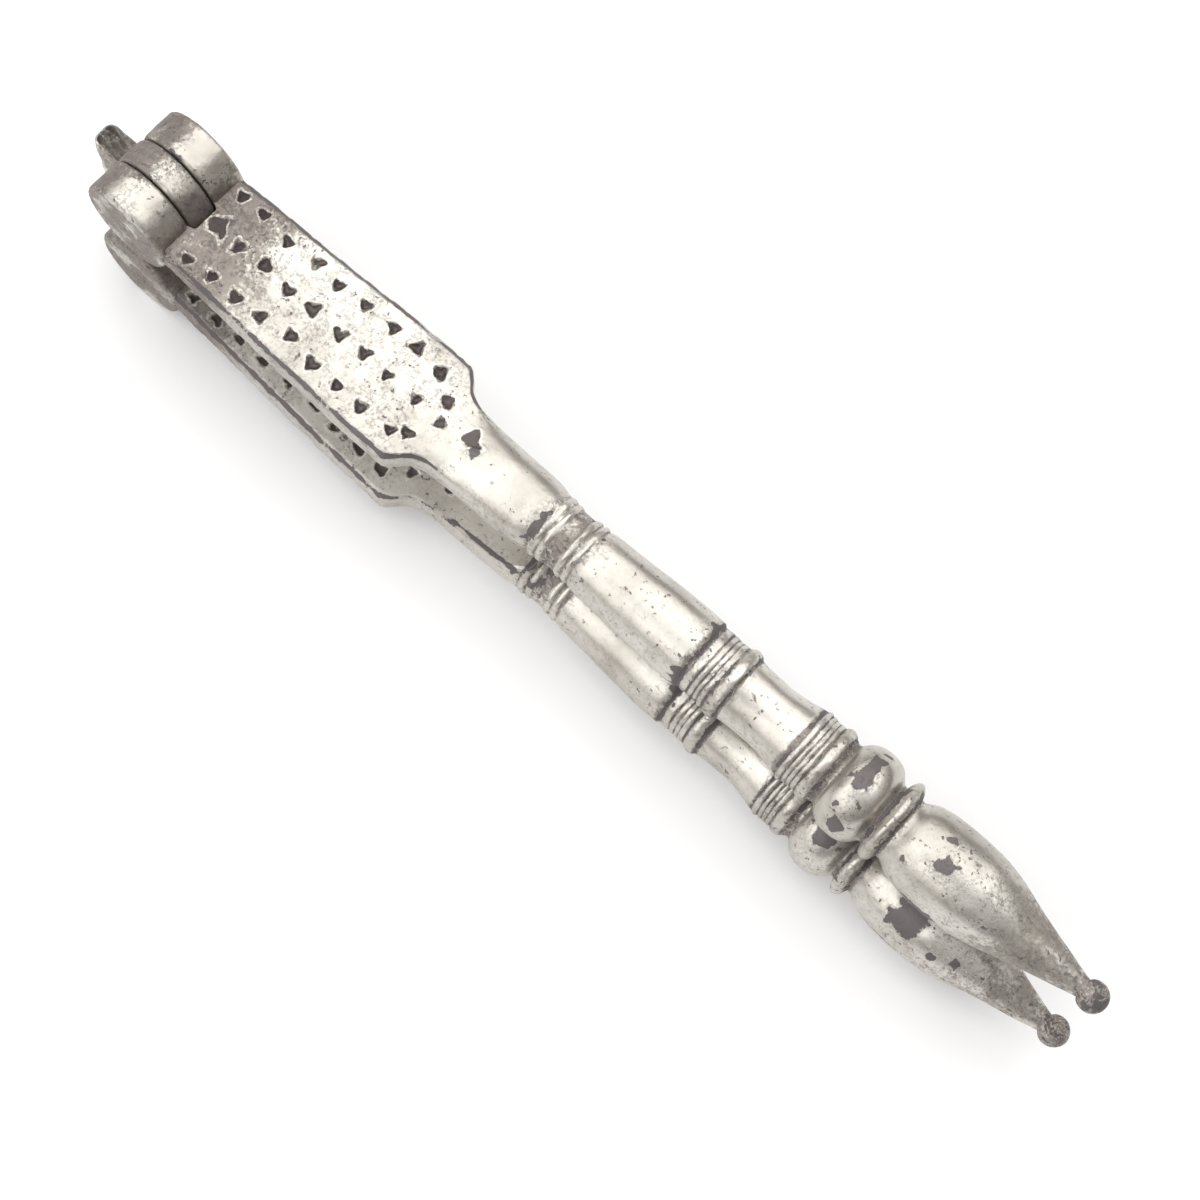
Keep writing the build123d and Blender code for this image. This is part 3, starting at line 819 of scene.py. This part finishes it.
    # painted shade in the pits: a dark brown over the deeper part of their hollows
    colour_out = n.blend(n.times(pit_shade, 0.80), colour_out, n.bright(given["Tarnish"], 0.40))
    n.join(colour_out, end.inputs["Color"])

    rough = n.plus(0.20, n.times(grain, 0.24))
    rough = n.plus(rough, n.times(film_and_shade, 0.35))
    rough = n.plus(rough, n.times(given["Matte"], 0.22))
    rough = n.plus(rough, n.times(bare, 0.09), clamp=True)
    n.join(rough, end.inputs["Roughness"])
    dulled = n.math("MAXIMUM", n.times(bare, 0.20), n.times(given["Matte"], 0.55))
    n.join(n.math("SUBTRACT", 0.90, dulled), end.inputs["Metallic"])
    height = n.math("MULTIPLY", bare, -0.55)
    height = n.math("ADD", height, n.math("MULTIPLY", grain, 0.20))
    height = n.math("ADD", height, n.math("MULTIPLY", scratch, -0.14))
    height = n.math("ADD", height, n.math("MULTIPLY", n.noise(place, 900.0, 4.0, 0.6), 0.55))
    height = n.math("ADD", height, n.math("MULTIPLY", n.math("MAXIMUM", pit_rim_highlight, flake_lip_highlight), 0.25))
    height = n.math("ADD", height, n.math("MULTIPLY", grit, -0.30))
    n.join(height, end.inputs["Height"])
    return group


def metal(name, colours, amount):
    """Principled metal fed by the flaked plating group."""
    group = bpy.data.node_groups.get("flaked_plating") or flaked_plating_group()
    material = bpy.data.materials.new(name)
    material.use_nodes = True
    n = Nodes(material.node_tree)
    shader = material.node_tree.nodes["Principled BSDF"]
    plating = n.add("ShaderNodeGroup", node_tree=group)
    for key in ("wear", "pit", "film_and_shade", "matte"):
        source = n.add("ShaderNodeAttribute", attribute_name=key)
        n.join(source.outputs["Fac"], plating.inputs[key.title()])
    plating.inputs["Amount"].default_value = amount
    for key, rgb in (("Plating", colours.plating), ("Dull", colours.dull), ("Steel", colours.steel),
                     ("Tarnish", colours.tarnish)):
        plating.inputs[key].default_value = (*rgb, 1.0)
    bump = n.add("ShaderNodeBump")
    bump.inputs["Strength"].default_value = 1.0
    bump.inputs["Distance"].default_value = 0.05 * MM
    n.join(plating.outputs["Height"], bump.inputs["Height"])
    n.join(plating.outputs["Color"], shader.inputs["Base Color"])
    n.join(plating.outputs["Roughness"], shader.inputs["Roughness"])
    n.join(plating.outputs["Metallic"], shader.inputs["Metallic"])
    n.join(bump.outputs["Normal"], shader.inputs["Normal"])
    return material


# ---- operators ---------------------------------------------------------------------------------------

class NUTCRACKER_OT_arms(bpy.types.Operator):
    """Build the two arms, each with its knuckles, pitted jaw, neck and turned handle"""
    bl_idname = "nutcracker.arms"
    bl_label = "Arms"

    def execute(self, context):
        sizes = context.scene.nutcracker_sizes
        finish = metal("flaked_plate", context.scene.nutcracker_finish, 0.0)
        for node, seed, patches, turn_over in (("upper_arm", 3, UPPER_PATCHES, False),
                                               ("lower_arm", 21, LOWER_PATCHES, True)):
            piece = arm_piece(node + "_forging", sizes, seed, patches, turn_over)
            piece.data.materials.append(finish)
            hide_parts(node)
            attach(piece, node)
        return {"FINISHED"}


class NUTCRACKER_OT_hinge_link(bpy.types.Operator):
    """Build the hinge link with its two eyes and its stop tab"""
    bl_idname = "nutcracker.hinge_link"
    bl_label = "Hinge link"

    def execute(self, context):
        piece = link_piece("hinge_link_plate", 31)
        piece.data.materials.append(metal("tarnished_link", context.scene.nutcracker_finish, 0.05))
        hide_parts("hinge_link")
        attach(piece, "link")
        return {"FINISHED"}


class NUTCRACKER_OT_hinge_pins(bpy.types.Operator):
    """Build the two hinge pins, ground flush with the knuckles"""
    bl_idname = "nutcracker.hinge_pins"
    bl_label = "Hinge pins"

    def execute(self, context):
        finish = metal("ground_pin", context.scene.nutcracker_finish, 0.15)
        for node, body, height in (("upper_hinge_pin", "upper_arm", PIN_HEIGHT),
                                   ("lower_hinge_pin", "lower_arm", -PIN_HEIGHT)):
            piece = pin_piece(node + "_rod", height)
            piece.data.materials.append(finish)
            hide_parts(node)
            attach(piece, body)
        return {"FINISHED"}


def soft_light(name, place, aim, size, power, tint):
    """Large square area light at a place, facing a point."""
    data = bpy.data.lights.new(name, "AREA")
    data.shape = "RECTANGLE"
    data.size, data.size_y = size
    data.energy = power
    data.color = tint
    light = bpy.data.objects.new(name, data)
    light.location = place
    light.rotation_euler = (Vector(aim) - Vector(place)).to_track_quat("-Z", "Y").to_euler()
    bpy.context.scene.collection.objects.link(light)


class NUTCRACKER_OT_stage(bpy.types.Operator):
    """Set out the floor, the lights and the camera"""
    bl_idname = "nutcracker.stage"
    bl_label = "Stage"

    def execute(self, context):
        scene = context.scene
        settings = scene.nutcracker_stage
        floor_z = CAD_BOX[0][2]
        mesh = bpy.data.meshes.new("floor")
        reach = 3.0
        mesh.from_pydata([(-reach, -reach, floor_z), (reach, -reach, floor_z), (reach, reach, floor_z),
                          (-reach, reach, floor_z)], [], [(0, 1, 2, 3)])
        floor = bpy.data.objects.new("floor", mesh)
        scene.collection.objects.link(floor)
        paper = bpy.data.materials.new("pale_floor")
        paper.use_nodes = True
        shader = paper.node_tree.nodes["Principled BSDF"]
        shader.inputs["Base Color"].default_value = (*settings.floor, 1.0)
        shader.inputs["Roughness"].default_value = 0.9
        shader.inputs["Specular IOR Level"].default_value = 0.0
        n = Nodes(paper.node_tree)
        apart = n.add("ShaderNodeVectorMath", operation="LENGTH")
        n.join(n.add("ShaderNodeTexCoord").outputs["Object"], apart.inputs[0])
        # the floor glows as painted light: faintly within about half a metre, which lightens the object's
        # shadow, and more strongly further out, so that the far floor stays white
        glow = n.blend(n.step(apart.outputs["Value"], 0.45, 1.5), (0.10, 0.10, 0.10, 1.0),
                       (0.68, 0.68, 0.68, 1.0))
        n.join(glow, shader.inputs["Emission Color"])
        shader.inputs["Emission Strength"].default_value = 1.0
        mesh.materials.append(paper)

        world = bpy.data.worlds.new("soft_room")
        world.use_nodes = True
        n = Nodes(world.node_tree)
        upward = n.add("ShaderNodeSeparateXYZ")
        n.join(n.add("ShaderNodeTexCoord").outputs["Generated"], upward.inputs[0])
        # a room that is bright overhead and dim towards its walls, with a white backdrop behind the floor
        height = n.step(upward.outputs["Z"], 0.05, 0.85)
        room = n.math("ADD", 0.06, n.math("MULTIPLY", height, 0.65))
        seen = n.add("ShaderNodeLightPath").outputs["Is Camera Ray"]
        backdrop = world.node_tree.nodes["Background"]
        tint = n.blend(n.math("MAXIMUM", height, seen), (1.0, 0.84, 0.74, 1.0), (0.97, 0.98, 1.0, 1.0))
        n.join(tint, backdrop.inputs["Color"])
        n.join(n.math("MAXIMUM", room, n.math("MULTIPLY", seen, 1.06)), backdrop.inputs["Strength"])
        scene.world = world
        scene.view_settings.view_transform = "Standard"
        middle = Vector((0.0, 0.0, 0.01))
        power = settings.key_power
        soft_light("key", (-0.16, 0.28, 0.72), middle, (1.4, 1.2), power, (1.0, 0.995, 0.98))
        soft_light("fill", (-0.35, -0.60, 0.50), middle, (1.0, 0.8), power * 0.50, (1.0, 1.0, 1.0))

        back = Vector((math.sin(settings.azimuth) * math.cos(settings.elevation),
                       -math.cos(settings.azimuth) * math.cos(settings.elevation),
                       math.sin(settings.elevation)))
        right = Vector((0, 0, 1)).cross(back).normalized()
        up = back.cross(right)
        turned_right = math.cos(settings.roll) * right + math.sin(settings.roll) * up
        turned_up = -math.sin(settings.roll) * right + math.cos(settings.roll) * up
        data = bpy.data.cameras.new("camera")
        data.sensor_width = 36.0
        data.lens = settings.lens
        data.clip_start = 0.01
        camera = bpy.data.objects.new("camera", data)
        turn = Matrix((turned_right, turned_up, back)).transposed()
        place = Vector(HINGE_MIDDLE) + Vector((112.628, -67.151, 266.397)) * MM
        camera.matrix_world = Matrix.Translation(place) @ turn.to_4x4()
        scene.collection.objects.link(camera)
        scene.camera = camera
        return {"FINISHED"}


class NUTCRACKER_PT_panel(bpy.types.Panel):
    """Sidebar panel with the steps in order"""
    bl_label = "Nutcracker"
    bl_idname = "NUTCRACKER_PT_panel"
    bl_space_type = "VIEW_3D"
    bl_region_type = "UI"
    bl_category = "Nutcracker"

    def draw(self, context):
        scene = context.scene
        for group in (scene.nutcracker_sizes, scene.nutcracker_finish, scene.nutcracker_stage):
            box = self.layout.box()
            for key in group.__annotations__:
                box.prop(group, key)
        for step in STEPS:
            self.layout.operator(step.bl_idname)


STEPS = (NUTCRACKER_OT_stage, NUTCRACKER_OT_arms, NUTCRACKER_OT_hinge_link, NUTCRACKER_OT_hinge_pins)
CLASSES = (ArmSizes, FinishColours, StageSettings, *STEPS, NUTCRACKER_PT_panel)


def register():
    for cls in CLASSES:
        bpy.utils.register_class(cls)
    bpy.types.Scene.nutcracker_sizes = bpy.props.PointerProperty(type=ArmSizes)
    bpy.types.Scene.nutcracker_finish = bpy.props.PointerProperty(type=FinishColours)
    bpy.types.Scene.nutcracker_stage = bpy.props.PointerProperty(type=StageSettings)


def unregister():
    del bpy.types.Scene.nutcracker_sizes
    del bpy.types.Scene.nutcracker_finish
    del bpy.types.Scene.nutcracker_stage
    for cls in reversed(CLASSES):
        bpy.utils.unregister_class(cls)


def main():
    """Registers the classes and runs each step."""
    register()
    for step in STEPS:
        group, name = step.bl_idname.split(".")
        getattr(getattr(bpy.ops, group), name)()
    bpy.context.view_layer.update()


if __name__ == "__main__":
    main()
